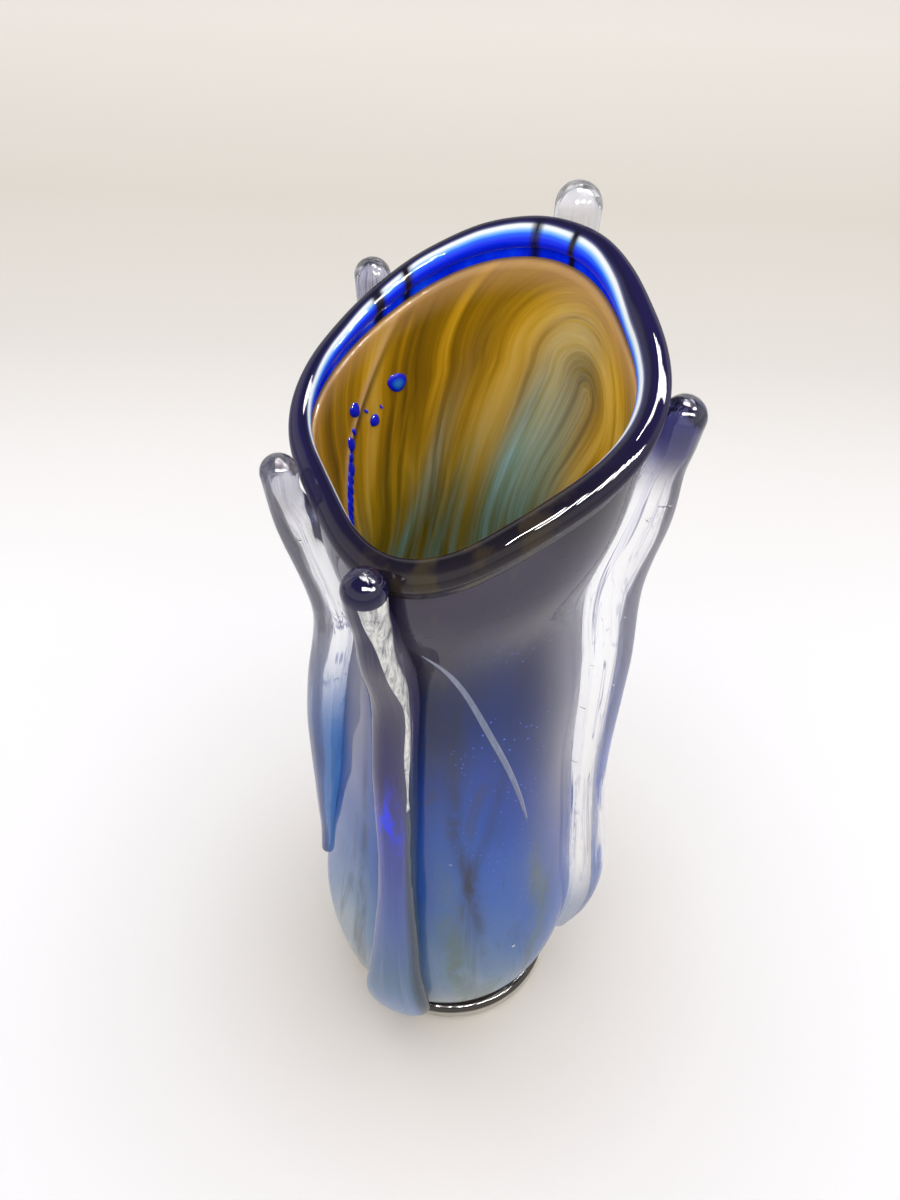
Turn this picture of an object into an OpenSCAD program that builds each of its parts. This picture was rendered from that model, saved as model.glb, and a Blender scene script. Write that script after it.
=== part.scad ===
// Tall hand blown vase: a cased glass body on a foot disc, a rolled lip,
// five drawn ribs with knobs at the rim, a thread and a few glass chips.
// Millimetres, +Z up, the foot disc stands centred on the origin.

/* [Body] */

// Height of the middle of the lip above the table
height = 250; // [200:5:320]
// Body diameter where it stands on the foot
base_diameter = 64; // [50:1:80]
// Body diameter above the foot
heel_diameter = 75.4; // [60:1:95]
// Body diameter at the low bulge
bulge_diameter = 80.6; // [64:1:100]
// Body diameter above the bulge
belly_diameter = 75.2; // [60:1:95]
// Body diameter half way up
middle_diameter = 68.8; // [55:1:86]
// Body diameter under the waist's top
waist_diameter = 65.6; // [52:1:82]
// Body diameter at the narrowest place
neck_diameter = 61.4; // [50:1:78]
// Body diameter where the mouth opens out
flare_diameter = 74.2; // [60:1:94]
// Body diameter under the lip
mouth_diameter = 80; // [65:1:102]
// How far the body's foot end stands to the left of the disc's middle
lean_left = 2; // [0:0.5:5]
// How far the mouth stands behind the foot
lean_back = 3.1; // [0:0.5:6]

/* [Mouth] */

// Rise of the mouth's plane for each millimetre across
mouth_slope = 0.448; // [0:0.02:0.6]
// Azimuth that the mouth rises toward
slope_azimuth = 38; // [-180:5:180]
// Share of two-sided stretch in the mouth's plan
stretch_two = 0.037; // [0:0.005:0.08]
// Azimuth of the two-sided stretch
azimuth_two = 95; // [-180:5:180]
// Share of four-sided stretch in the mouth's plan
stretch_four = 0.04; // [0:0.005:0.08]
// Azimuth of the four-sided stretch
azimuth_four = -20; // [-180:5:180]
// Share of five-sided stretch in the mouth's plan
stretch_five = 0.013; // [0:0.005:0.04]
// Azimuth of the five-sided stretch
azimuth_five = 37; // [-180:5:180]

/* [Layers] */

// Thickness of the clear casing
casing_wall = 2.6; // [1.6:0.1:5]
// Thickness of the cobalt overlay
overlay_wall = 0.6; // [0.4:0.1:1.5]
// Thickness of the marbled lining
lining_wall = 1.2; // [0.8:0.1:2.5]
// Glass left under the cavity, above the foot
floor_thickness = 9; // [5:0.5:16]
// Height over which the cavity's floor rounds up into the wall
floor_round = 14; // [6:1:24]
// Distance from the top of the wall down to the lining's edge
lining_drop = 2.5; // [1.5:0.5:20]

/* [Lip] */

// Mean width of the lip bead across the wall
lip_width = 6.4; // [5:0.2:10]
// Mean height of the lip bead
lip_height = 6.2; // [4:0.2:10]
// Share by which the bead swells on one side and thins on the other
lip_swell = 0.13; // [0:0.01:0.25]
// Azimuth of the bead's thick side
swell_azimuth = -30; // [-180:5:180]
// How far the wall reaches up into the bead, below its middle
lip_seat = 1.6; // [0.8:0.1:3]

/* [Foot] */

// Foot disc diameter
foot_diameter = 67.6; // [50:1:85]
// Foot disc height
foot_height = 7; // [3:0.5:14]
// Rounding of the foot disc's edge
foot_edge = 2.4; // [0.6:0.2:3]

/* [Ribs] */

// Rib width across
rib_width = 10.5; // [7:0.5:16]
// How deep the rib stands off the wall at the narrowest place
rib_reach_neck = 13.5; // [8:0.5:20]
// How deep the rib stands off the wall half way up
rib_reach_middle = 11.5; // [7:0.5:16]
// How deep the rib stands off the wall low down
rib_reach_low = 11; // [6:0.5:16]
// Width of the drop that ends each rib but the front one
drop_width = 13; // [9:0.5:24]
// Depth of the drop off the wall
drop_reach = 8; // [5:0.5:14]
// Gap between a rib's drop and the foot disc's edge
foot_gap = 0.4; // [0.2:0.1:2]
// How far a knob's middle stands outside the wall
knob_out = 6; // [4:0.5:9]

/* [Front rib] */

// Azimuth of the front rib's knob
front_azimuth = -114; // [-180:0.5:180]
// Turn of the front rib on its way down
front_turn = 5; // [-40:1:40]
// Radius of the front rib's knob
front_knob = 5; // [3:0.2:7]
// Height of the front rib's knob over the top of the wall
front_rise = 4; // [-16:0.5:12]
// Height of the front rib's low end
front_end = 13.5; // [8:0.5:120]
// Width of the broad drop that ends the front rib
front_drop = 23; // [9:0.5:28]

/* [Right rib] */

// Azimuth of the right rib's knob
right_azimuth = -9.5; // [-180:0.5:180]
// Turn of the right rib on its way down
right_turn = 2; // [-40:1:40]
// Radius of the right rib's knob
right_knob = 4.9; // [3:0.2:7]
// Height of the right rib's knob over the top of the wall
right_rise = -8; // [-16:0.5:12]
// Height of the right rib's low end
right_end = 20; // [8:1:120]
// How far the right rib stands out at the body's middle
right_middle = 9.5; // [6:0.5:16]
// Width of the right rib's drop
right_drop = 9; // [5:0.5:24]

/* [Back right rib] */

// Azimuth of the back right rib's knob
back_right_azimuth = 62; // [-180:1:180]
// Turn of the back right rib on its way down
back_right_turn = 4; // [-40:1:40]
// Radius of the back right rib's knob
back_right_knob = 5.4; // [3:0.2:7]
// Height of the back right rib's knob over the top of the wall
back_right_rise = 4.5; // [-16:0.5:12]
// Height of the back right rib's low end
back_right_end = 18; // [8:1:120]

/* [Back left rib] */

// Azimuth of the back left rib's knob
back_left_azimuth = 122; // [-180:1:180]
// Turn of the back left rib on its way down
back_left_turn = 6; // [-40:1:40]
// Radius of the back left rib's knob
back_left_knob = 4.3; // [3:0.2:7]
// Height of the back left rib's knob over the top of the wall
back_left_rise = 1; // [-16:0.5:12]
// Height of the back left rib's low end
back_left_end = 26; // [8:1:120]

/* [Left rib] */

// Azimuth of the left rib's knob
left_azimuth = -160; // [-180:1:180]
// Turn of the left rib on its way down
left_turn = -14; // [-40:1:40]
// Radius of the left rib's knob
left_knob = 4.2; // [3:0.2:7]
// Height of the left rib's knob over the top of the wall
left_rise = 6; // [-16:0.5:12]
// Height of the left rib's low end
left_end = 62; // [8:1:120]
// How far the left rib stands out at the body's middle
left_middle = 9; // [6:0.5:16]
// How far the left rib stands out at the body's neck
left_neck = 9; // [6:0.5:20]
// How far the left rib stands out low down
left_low = 6; // [4:0.5:16]
// Width of the left rib at its end
left_drop = 7; // [5:0.5:24]
// How far the left rib stands out at its end
left_out = 3.5; // [3:0.5:14]

/* [Thread and chips] */

// Width of the pale thread
thread_width = 3; // [1.4:0.1:5]
// How far the pale thread stands off the wall
thread_reach = 0.9; // [0.5:0.1:2]
// How far a chip stands into the cavity
chip_reach = 0.8; // [0.4:0.1:1.5]
// Size of the largest chip
chip_size = 5.2; // [2:0.2:8]

/* [Hidden] */

columns = 48;
wall_top = height - lip_seat;            // height of the wall's end
wall = casing_wall + overlay_wall;       // wall under the lip
base = foot_height / wall_top;           // start of the body as a share
cavity = foot_height + floor_thickness;  // floor of the casing's cavity

// diameters up the body, at shares of the wall's height
shares = [base, 0.09, 0.18, 0.32, 0.50, 0.66, 0.78, 0.90, 1];
radii = [base_diameter, heel_diameter, bulge_diameter, belly_diameter,
         middle_diameter, waist_diameter, neck_diameter, flare_diameter,
         mouth_diameter] / 2;

// smooth curve through the values v at the places k
function slope_at(k, v, i) =
    let (a = max(i - 1, 0), b = min(i + 1, len(k) - 1))
    (v[b] - v[a]) / (k[b] - k[a]);
function span(k, x, i = 0) =
    i >= len(k) - 2 || x < k[i + 1] ? i : span(k, x, i + 1);
function smooth(k, v, x) =
    let (q = min(max(x, k[0]), k[len(k) - 1]), i = span(k, q),
         h = k[i + 1] - k[i], t = (q - k[i]) / h)
    v[i] * (1 + 2 * t) * pow(1 - t, 2) + v[i + 1] * t * t * (3 - 2 * t)
    + h * slope_at(k, v, i) * t * pow(1 - t, 2)
    - h * slope_at(k, v, i + 1) * t * t * (1 - t);

// plan of the mouth, which the body takes on as it rises
function plan(a) = stretch_two * cos(2 * (a - azimuth_two))
    + stretch_four * cos(4 * (a - azimuth_four))
    + stretch_five * cos(5 * (a - azimuth_five));
function axis_at(s) = [-lean_left * (1 - s) + 0.5 * s * s + 0.85 * sin(180 * min(s, 1)),
                       1 + (lean_back - 1) * s * s];
// point at azimuth a and share s, off the outer wall by d, narrowed by g
function wall_point(a, s, d, g = 1) =
    let (r = g * (smooth(shares, radii, s) + d)
             * (1 + plan(a) * pow(min(s, 1), 1.6)),
         x = r * cos(a), y = r * sin(a), c = axis_at(min(s, 1)))
    [c[0] + x, c[1] + y,
     wall_top * s + pow(min(s, 1), 3) * mouth_slope
     * (x * cos(slope_azimuth) + y * sin(slope_azimuth))];
function ring(s, d, g = 1) =
    [for (j = [0 : columns - 1]) wall_point(j * 360 / columns, s, d, g)];

// one closed skin through rings of n points, with a point at each end
function skin_points(rings, first, last) =
    concat([first], [for (r = rings) for (p = r) p], [last]);
// rings after the first `up` of them run downward, and their quads split the
// other way, so that a skin shared by two layers has the same triangles in both
function skin_faces(m, n, up) = concat(
    [for (j = [0 : n - 1]) [0, 1 + j, 1 + (j + 1) % n]],
    [for (i = [0 : m - 2]) for (j = [0 : n - 1])
        let (a = 1 + i * n + j, b = 1 + i * n + (j + 1) % n)
        each i < up ? [[a, a + n, b + n], [a, b + n, b]]
                    : [[a, a + n, b], [a + n, b + n, b]]],
    [for (j = [0 : n - 1])
        [1 + (m - 1) * n + (j + 1) % n, 1 + (m - 1) * n + j, m * n + 1]]);
module skin(rings, first, last, up = 1000) {
    polyhedron(points = skin_points(rings, first, last),
               faces = skin_faces(len(rings), len(rings[0]), up), convexity = 12);
}

// shares of the wall's height for the rings
lining_end = 1 - lining_drop / wall_top;
levels = [0.06, 0.09, 0.13, 0.18, 0.25, 0.32, 0.40, 0.48, 0.56, 0.63, 0.69,
          0.735, 0.775, 0.815, 0.855, 0.90, 0.95];
// the cavity's skin for a layer that lies d inside the outer wall
function floor_of(d) = cavity + (d - casing_wall);
function cup_low(d) = [for (g = [0.3, 0.55, 0.76, 0.9, 0.97, 1])
    [(floor_of(d) + floor_round * (1 - sqrt(1 - g * g))) / wall_top, g]];
function cup(d, top) = concat(cup_low(d),
    [for (s = levels) if (s > (floor_of(d) + floor_round) / wall_top + 0.02
                          && s < top - 0.02) [s, 1]], [[top, 1]]);
function cup_rings(d, list) = [for (l = list) ring(l[0], -d, l[1])];
function cup_floor(d) = let (s = floor_of(d) / wall_top, c = axis_at(s))
    [c[0], c[1], floor_of(d)];
function flip(v) = [for (i = [len(v) - 1 : -1 : 0]) v[i]];
outer_list = concat([base], [for (s = levels) if (s > base + 0.02) s], [1]);
outer_rings = [for (s = outer_list) ring(s, 0)];
base_point = [axis_at(base)[0], axis_at(base)[1], foot_height];
mouth_point = let (c = axis_at(1)) [c[0], c[1], wall_top];
// rings of the skins that two layers share
casing_in = cup_rings(casing_wall, concat(cup(casing_wall, lining_end), [[1, 1]]));
overlay_in = cup_rings(wall, concat(cup(wall, lining_end), [[1, 1]]));
lining_out = cup_rings(wall, cup(wall, lining_end));
lining_in = cup_rings(wall + lining_wall, cup(wall + lining_wall,
                                              lining_end - 0.3 * lining_wall / wall_top));

module foot_disc() {
    color([0.80, 0.80, 0.78, 0.6])
    rotate_extrude($fn = 96)
    union() {
        polygon([[0, 0], [foot_diameter / 2 - foot_edge, 0],
                 [foot_diameter / 2, foot_edge],
                 [foot_diameter / 2, foot_height - foot_edge],
                 [foot_diameter / 2 - foot_edge, foot_height], [0, foot_height]]);
        translate([foot_diameter / 2 - foot_edge, foot_edge])
            circle(r = foot_edge, $fn = 24);
        translate([foot_diameter / 2 - foot_edge, foot_height - foot_edge])
            circle(r = foot_edge, $fn = 24);
    }
}
module clear_casing() {
    color([0.75, 0.78, 0.92, 0.5])
    skin(concat(outer_rings, flip(casing_in)), base_point, cup_floor(casing_wall),
         len(outer_rings));
}
module cobalt_overlay() {
    color([0.10, 0.20, 0.85])
    skin(concat(casing_in, flip(overlay_in)), cup_floor(casing_wall), cup_floor(wall),
         len(casing_in));
}
module inner_lining() {
    color([0.72, 0.52, 0.16])
    skin(concat(lining_out, flip(lining_in)), cup_floor(wall),
         cup_floor(wall + lining_wall), len(lining_out));
}

// the wall's outer shape as one closed solid
module wall_blank() {
    skin(outer_rings, base_point, mouth_point);
}
// section of the lip at azimuth a: along the wall's end, then round the bead
lip_angles = [212, 190, 165, 140, 115, 90, 65, 40, 15, -10, -32];
function lip_section(a) =
    let (o = wall_point(a, 1, 0), c = wall_point(a, 1, -casing_wall),
         i = wall_point(a, 1, -wall), m = (o + i) / 2,
         e = (o - i) / norm(o - i),
         f = 1 + lip_swell * cos(a - swell_azimuth))
    concat([o, c, i], [for (t = lip_angles)
        m + e * f * lip_width / 2 * cos(t)
        + [0, 0, lip_seat + f * lip_height / 2 * sin(t)]]);
lip_size = len(lip_angles) + 3;
module lip_wrap() {
    color([0.08, 0.08, 0.20])
    polyhedron(
        points = [for (j = [0 : columns - 1]) each lip_section(j * 360 / columns)],
        faces = [for (j = [0 : columns - 1]) for (k = [0 : lip_size - 1])
            let (jn = (j + 1) % columns, kn = (k + 1) % lip_size,
                 p = j * lip_size + k, q = jn * lip_size + k,
                 u = jn * lip_size + kn, v = j * lip_size + kn)
            each [[p, q, u], [p, u, v]]],
        convexity = 12);
}

// the room that a rib's drop leaves the foot disc
module foot_room() {
    function disc(z) = [for (j = [0 : columns - 1]) let (t = j * 360 / columns)
        [(foot_diameter / 2 + foot_gap) * cos(t),
         (foot_diameter / 2 + foot_gap) * sin(t), z]];
    skin([disc(-1), disc(foot_height)], [0, 0, -1], [0, 0, foot_height]);
}

// a drawn rib: knob outside the lip, a deep fin down the wall, a drop at the end
rib_sides = 14;
// stations down the rib from the knob (0) to the drop (1):
// middle off the wall, half depth, half width
rib_keys = [0, 0.035, 0.075, 0.16, 0.27, 0.42, 0.60, 0.80, 0.93, 1];
function rib_reach(k, neck, mid, low, out) = [knob_out + k, knob_out + 0.95 * k,
    knob_out + 0.86 * k, 0.93 * neck, neck, 0.45 * neck + 0.55 * mid, mid, low, out,
    0.7 * out];
function rib_root(k) = [knob_out - k, knob_out - 0.95 * k, -1, -2, -2, -2, -2, -2, -2, -2];
function rib_half(k, drop) = [k, 0.97 * k, 0.88 * k, 0.46 * rib_width,
    0.5 * rib_width, 0.5 * rib_width, 0.5 * rib_width, 0.33 * rib_width + 0.2 * drop,
    0.46 * drop, 0.3 * drop];
// a ring of the rib: azimuth a, height z, reach off the wall from q to p, half width w
function rib_ring(a, s, q, p, w, lift) =
    let (b = wall_point(a, s, 0), e = [cos(a), sin(a), 0], n = [-sin(a), cos(a), 0])
    [for (j = [0 : rib_sides - 1]) let (t = j * 360 / rib_sides)
        b + e * ((p + q) / 2 + (p - q) / 2 * cos(t)) + n * w * sin(t)
        + [0, 0, lift]];
module rib(azimuth, turn, knob, rise, end, drop = drop_width, mid = rib_reach_middle,
           low_reach = rib_reach_low, out = drop_reach, neck = rib_reach_neck) {
    top = 1;
    low = end / wall_top;
    us = [0, 0.02, 0.04, 0.065, 0.10, 0.15, 0.21, 0.28, 0.36, 0.45, 0.54, 0.63,
          0.72, 0.80, 0.87, 0.93, 0.97, 1];
    function turn_at(u) = azimuth + turn * u * u * (3 - 2 * u);
    function share(u) = top - (top - low) * u;
    // the knob's rise fades out down the rib
    function lift(u) = rise * pow(1 - min(u / 0.3, 1), 2);
    function reach(u) = smooth(rib_keys, rib_reach(knob, neck, mid, low_reach, out), u);
    function root(u) = smooth(rib_keys, rib_root(knob), u);
    function half(u) = smooth(rib_keys, rib_half(knob, drop), u);
    cap = [for (g = [75, 50, 25]) g];
    tip_drop = 0.28 * drop;
    rings = concat(
        [for (g = cap) rib_ring(azimuth, top, knob_out - knob * cos(g),
            knob_out + knob * cos(g), knob * cos(g), rise + knob * sin(g))],
        [for (u = us) rib_ring(turn_at(u), share(u), root(u), reach(u), half(u), lift(u))],
        [for (g = [25, 50, 75]) let (w = cos(g),
              p = reach(1), q = root(1), m = (p + q) / 2)
            rib_ring(turn_at(1), share(1), m + (q - m) * w, m + (p - m) * w,
                     half(1) * w, -tip_drop * sin(g))]);
    tip = wall_point(azimuth, top, 0)
        + knob_out * [cos(azimuth), sin(azimuth), 0] + [0, 0, rise + knob];
    toe_a = turn_at(1);
    toe = wall_point(toe_a, share(1), 0)
        + (reach(1) + root(1)) / 2 * [cos(toe_a), sin(toe_a), 0] - [0, 0, tip_drop];
    difference() {
        skin(flip(rings), toe, tip);
        wall_blank();
        lip_wrap();
        foot_room();
    }
}
module rib_front() {
    color([0.55, 0.58, 0.80, 0.6])
    rib(front_azimuth, front_turn, front_knob, front_rise, front_end, front_drop);
}
module rib_right() {
    color([0.85, 0.86, 0.88, 0.6])
    rib(right_azimuth, right_turn, right_knob, right_rise, right_end, right_drop,
        right_middle);
}
module rib_back_right() {
    color([0.85, 0.86, 0.88, 0.6])
    rib(back_right_azimuth, back_right_turn, back_right_knob, back_right_rise,
        back_right_end);
}
module rib_back_left() {
    color([0.70, 0.72, 0.80, 0.6])
    rib(back_left_azimuth, back_left_turn, back_left_knob, back_left_rise,
        back_left_end);
}
module rib_left() {
    color([0.80, 0.84, 0.92, 0.6])
    rib(left_azimuth, left_turn, left_knob, left_rise, left_end, left_drop,
        left_middle, left_low, left_out, left_neck);
}

// the thread: from beside the front rib, over to the right and down
module pale_thread() {
    steps = 18;
    high = 0.85;
    // clear of the front rib's side at the start
    start = [front_azimuth + (rib_width / 2 + thread_width / 2 + 0.6)
             / smooth(shares, radii, high) * 180 / PI, high];
    go = [53, -0.40];
    function place(u) = [start[0] + go[0] * (0.4 * u + 0.6 * sin(90 * u)),
                         start[1] + go[1] * u];
    function thick(u) = sqrt(max(0.06, 1 - pow(2 * u - 1, 4)));
    function along(u) = let (p = place(u)) wall_point(p[0], p[1], 0);
    function section(u) = let (p = place(u), c = along(u),
            d = along(min(u + 0.01, 1)) - along(max(u - 0.01, 0)),
            e = [cos(p[0]), sin(p[0]), 0], n0 = cross(d, e), n = n0 / norm(n0))
        [for (j = [0 : 7]) let (t = j * 45)
            c + e * thread_reach * thick(u) * cos(t)
            + n * thread_width / 2 * thick(u) * sin(t)];
    color([0.78, 0.80, 0.88])
    difference() {
        skin([for (i = [0 : steps]) section(i / steps)], along(0), along(1));
        wall_blank();
    }
}

// chips melted into the lining: azimuth, height share, width and height shares
chip_list = [[123, 0.917, 1, 1], [145, 0.927, 0.6, 0.85], [136, 0.896, 0.5, 0.7],
             [150.5, 0.897, 0.45, 0.9], [154.5, 0.875, 0.45, 0.9],
             [159, 0.86, 0.4, 0.8], [163.5, 0.847, 0.4, 0.8],
             [168, 0.835, 0.4, 0.7]];
module cobalt_chips() {
    inside = wall + lining_wall;
    color([0.05, 0.15, 0.80])
    intersection() {
        for (c = chip_list) {
            b = wall_point(c[0], c[1], -inside);
            e = [cos(c[0]), sin(c[0]), 0];
            n = [-sin(c[0]), cos(c[0]), 0];
            w = chip_size / 2 * c[2];
            h = chip_size / 2 * c[3];
            up = wall_point(c[0], c[1] + 0.01, -inside)
               - wall_point(c[0], c[1] - 0.01, -inside);
            z = up / norm(up);
            skin([for (g = [-60, -25, 10, 40, 70]) [for (j = [0 : 9])
                    b + z * h * sin(g) + cos(g) * (n * w * sin(36 * j)
                    + e * chip_reach * cos(36 * j))]], b - z * h, b + z * h);
        }
        skin(lining_in, cup_floor(inside), mouth_point);
    }
}

foot_disc();
clear_casing();
cobalt_overlay();
inner_lining();
lip_wrap();
rib_front();
rib_right();
rib_back_right();
rib_back_left();
rib_left();
pale_thread();
cobalt_chips();
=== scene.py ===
import math
import bpy
import numpy as np
from mathutils import Matrix, Vector


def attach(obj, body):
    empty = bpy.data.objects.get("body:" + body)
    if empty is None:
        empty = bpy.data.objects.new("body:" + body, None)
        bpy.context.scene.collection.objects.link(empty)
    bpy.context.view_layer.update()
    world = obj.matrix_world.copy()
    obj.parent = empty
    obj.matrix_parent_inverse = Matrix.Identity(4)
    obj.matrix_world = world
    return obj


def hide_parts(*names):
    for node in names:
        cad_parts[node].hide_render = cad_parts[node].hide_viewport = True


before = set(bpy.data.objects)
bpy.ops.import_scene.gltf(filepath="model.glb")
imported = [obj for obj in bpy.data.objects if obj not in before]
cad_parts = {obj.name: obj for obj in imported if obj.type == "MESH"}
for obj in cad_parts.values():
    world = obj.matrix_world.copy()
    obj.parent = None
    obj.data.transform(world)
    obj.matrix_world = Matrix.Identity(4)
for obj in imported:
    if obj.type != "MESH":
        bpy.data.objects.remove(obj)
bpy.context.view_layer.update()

# ---------------------------------------------------------------- the form, in mm
HEIGHT, FOOT_HEIGHT, FLOOR_T, FLOOR_ROUND = 250.0, 7.0, 9.0, 14.0
LIP_SEAT, LIP_W, LIP_H, LIP_SWELL, SWELL_AZ = 1.6, 6.4, 6.2, 0.13, -30.0
CASING, OVERLAY, LINING, LINING_DROP = 2.6, 0.6, 1.2, 2.5
TOP = HEIGHT - LIP_SEAT
WALL = CASING + OVERLAY
INSIDE = WALL + LINING
BASE = FOOT_HEIGHT / TOP
SHARES = [BASE, 0.09, 0.18, 0.32, 0.50, 0.66, 0.78, 0.90, 1]
RADII = [d / 2 for d in (64, 75.4, 80.6, 75.2, 68.8, 65.6, 61.4, 74.2, 80)]
RIB_W, KNOB_OUT, DROP_REACH = 10.5, 6.0, 8.0
NECK, MIDDLE, LOW = 13.5, 11.5, 11.0
COLUMNS = 288

rad = np.radians


def smooth(keys, values, x):
    """A smooth curve through the values at the keys."""
    k, v = np.asarray(keys, float), np.asarray(values, float)
    n = len(k)
    a, b = np.maximum(np.arange(n) - 1, 0), np.minimum(np.arange(n) + 1, n - 1)
    m = (v[b] - v[a]) / (k[b] - k[a])
    q = np.clip(x, k[0], k[-1])
    i = np.clip(np.searchsorted(k, q, side="right") - 1, 0, n - 2)
    h = k[i + 1] - k[i]
    t = (q - k[i]) / h
    return (v[i] * (1 + 2 * t) * (1 - t) ** 2 + v[i + 1] * t * t * (3 - 2 * t)
            + h * m[i] * t * (1 - t) ** 2 - h * m[i + 1] * t * t * (1 - t))


def plan(a):
    return (0.037 * np.cos(rad(2 * (a - 95))) + 0.04 * np.cos(rad(4 * (a + 20)))
            + 0.013 * np.cos(rad(5 * (a - 37))))


def axis_at(s):
    c = np.minimum(s, 1)
    return (-2 * (1 - s) + 0.5 * s * s + 0.85 * np.sin(np.pi * c), 1 + 2.1 * s * s)


def wall_point(a, s, d, g=1.0):
    """Point at azimuth a and height share s, off the outer wall by d, narrowed by g."""
    a, s, d, g = np.broadcast_arrays(np.asarray(a, float), s, d, g)
    r = g * (smooth(SHARES, RADII, s) + d) * (1 + plan(a) * np.minimum(s, 1) ** 1.6)
    x, y = r * np.cos(rad(a)), r * np.sin(rad(a))
    cx, cy = axis_at(np.minimum(s, 1))
    tilt = np.minimum(s, 1) ** 3 * 0.448 * (x * math.cos(rad(38)) + y * math.sin(rad(38)))
    return np.stack([cx + x, cy + y, TOP * s + tilt], -1)


def ripple(a, s):
    """The slow waviness that blowing leaves, in mm."""
    fade = np.clip((s - 0.05) / 0.15, 0, 1) * np.clip((1 - s) / 0.06, 0, 1)
    return fade * (0.22 * np.sin(rad(3 * a) + 9 * s) + 0.16 * np.sin(rad(5 * a) - 14 * s + 1)
                   + 0.10 * np.sin(rad(2 * a) + 31 * s + 2) + 0.06 * np.sin(rad(7 * a) + 47 * s))


def bell(x, mid, wide):
    return np.exp(-((x - mid) / wide) ** 2)


def apart(a, b):
    """Azimuth a from azimuth b, in -180..180 degrees."""
    return (np.asarray(a) - b + 180) % 360 - 180


# ---------------------------------------------------------------- meshes
def skin(name, rings, first=None, last=None, facts=None, loop=False):
    """A mesh through rings of points (mm), closed by a point at each end, or into a loop.
    facts are per-point numbers for the materials, one array of rings for each name."""
    rings = np.asarray(rings, float)
    m, n = rings.shape[:2]
    grid = np.arange(m * n).reshape(m, n)
    rows = m if loop else m - 1
    a = grid[:rows]
    b = np.roll(grid, -1, 0)[:rows]
    quads = np.stack([a, np.roll(a, -1, 1), np.roll(b, -1, 1), b], -1).reshape(-1, 4)
    faces = quads.tolist()
    points = rings.reshape(-1, 3)
    if first is not None:
        points = np.vstack([points, first])
        faces += [[m * n, (j + 1) % n, j] for j in range(n)]
    if last is not None:
        points = np.vstack([points, last])
        k, e = len(points) - 1, (m - 1) * n
        faces += [[k, e + j, e + (j + 1) % n] for j in range(n)]
    me = bpy.data.meshes.new(name)
    me.from_pydata((points * 0.001).tolist(), [], faces)
    me.validate()
    me.polygons.foreach_set("use_smooth", [True] * len(me.polygons))
    for key, values in (facts or {}).items():
        flat = np.broadcast_to(values, (m, n)).reshape(-1)
        ends = [flat[:n].mean()] * (first is not None) + [flat[-n:].mean()] * (last is not None)
        me.attributes.new(key, "FLOAT", "POINT").data.foreach_set(
            "value", np.concatenate([flat, ends]).astype(np.float32))
    me.update()
    ob = bpy.data.objects.new(name, me)
    bpy.context.scene.collection.objects.link(ob)
    return ob


def place(ob, material, slot, *nodes):
    ob.data.materials.append(material)
    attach(ob, "root")
    if nodes:
        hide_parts(*nodes)
    return ob


AZ = np.arange(COLUMNS) * 360.0 / COLUMNS
AROUND = AZ[None, :]


def floor_of(d):
    return FOOT_HEIGHT + FLOOR_T + d - CASING


def cup(d, top, count=70, low=14):
    """(share, narrowing) down-to-up list of the cavity's skin, d inside the outer wall."""
    g = np.sin(np.linspace(0.06, 1, low) * np.pi / 2)
    s = (floor_of(d) + FLOOR_ROUND * (1 - np.sqrt(np.maximum(1 - g * g, 0)))) / TOP
    up = np.linspace(s[-1] + 0.012, top, count)
    return (np.concatenate([s, up])[:, None], np.concatenate([g, np.ones(count)])[:, None])


def cup_floor(d):
    c = axis_at(floor_of(d) / TOP)
    return [c[0], c[1], floor_of(d)]


# ---------------------------------------------------------------- node helpers
def new_material(name):
    m = bpy.data.materials.new(name)
    m.use_nodes = True
    m.node_tree.nodes.clear()
    return m, m.node_tree


def add(nt, kind, out=0, props=None, **inputs):
    """A node with those inputs set or linked, and one of its outputs."""
    n = nt.nodes.new("ShaderNode" + kind)
    for k, v in (props or {}).items():
        setattr(n, k, v)
    for k, v in inputs.items():
        s = n.inputs[int(k[1:])] if k[0] == "i" and k[1:].isdigit() else n.inputs[k.replace("_", " ")]
        if isinstance(v, bpy.types.NodeSocket):
            nt.links.new(v, s)
        else:
            s.default_value = v
    return n.outputs[out] if out is not None else n


def calc(nt, op, a, b=0.0, c=None):
    kw = {"i0": a, "i1": b}
    if c is not None:
        kw["i2"] = c
    return add(nt, "Math", props={"operation": op}, **kw)


def fact(nt, name):
    return add(nt, "Attribute", out=2, props={"attribute_name": name})


def spot(nt):
    return add(nt, "TexCoord", out=3)


def scaled(nt, vector, x, y, z):
    return add(nt, "Mapping", Vector=vector, Scale=(x, y, z))


def noise(nt, vector, scale, detail=4.0, rough=0.5, bend=0.0):
    return add(nt, "TexNoise", Vector=vector, Scale=scale, Detail=detail, Roughness=rough,
               Distortion=bend)


def ramp(nt, value, stops, how="LINEAR"):
    n = nt.nodes.new("ShaderNodeValToRGB")
    n.color_ramp.interpolation = how
    e = n.color_ramp.elements
    while len(e) < len(stops):
        e.new(0.5)
    for i, (p, c) in enumerate(stops):
        e[i].position = p
        e[i].color = (*c, 1) if len(c) == 3 else c
    nt.links.new(value, n.inputs[0])
    return n.outputs[0]


def fade(nt, value, low, high, to=(0.0, 1.0)):
    n = nt.nodes.new("ShaderNodeMapRange")
    n.interpolation_type = "SMOOTHSTEP"
    nt.links.new(value, n.inputs[0])
    for i, v in enumerate((low, high, *to)):
        n.inputs[i + 1].default_value = v
    return n.outputs[0]


def blend(nt, share, a, b, mode="MIX"):
    n = nt.nodes.new("ShaderNodeMix")
    n.data_type, n.blend_type = "RGBA", mode
    for i, v in ((0, share), (6, a), (7, b)):
        if isinstance(v, bpy.types.NodeSocket):
            nt.links.new(v, n.inputs[i])
        else:
            n.inputs[i].default_value = v if i == 0 else (*v, 1)
    return n.outputs[2]


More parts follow.
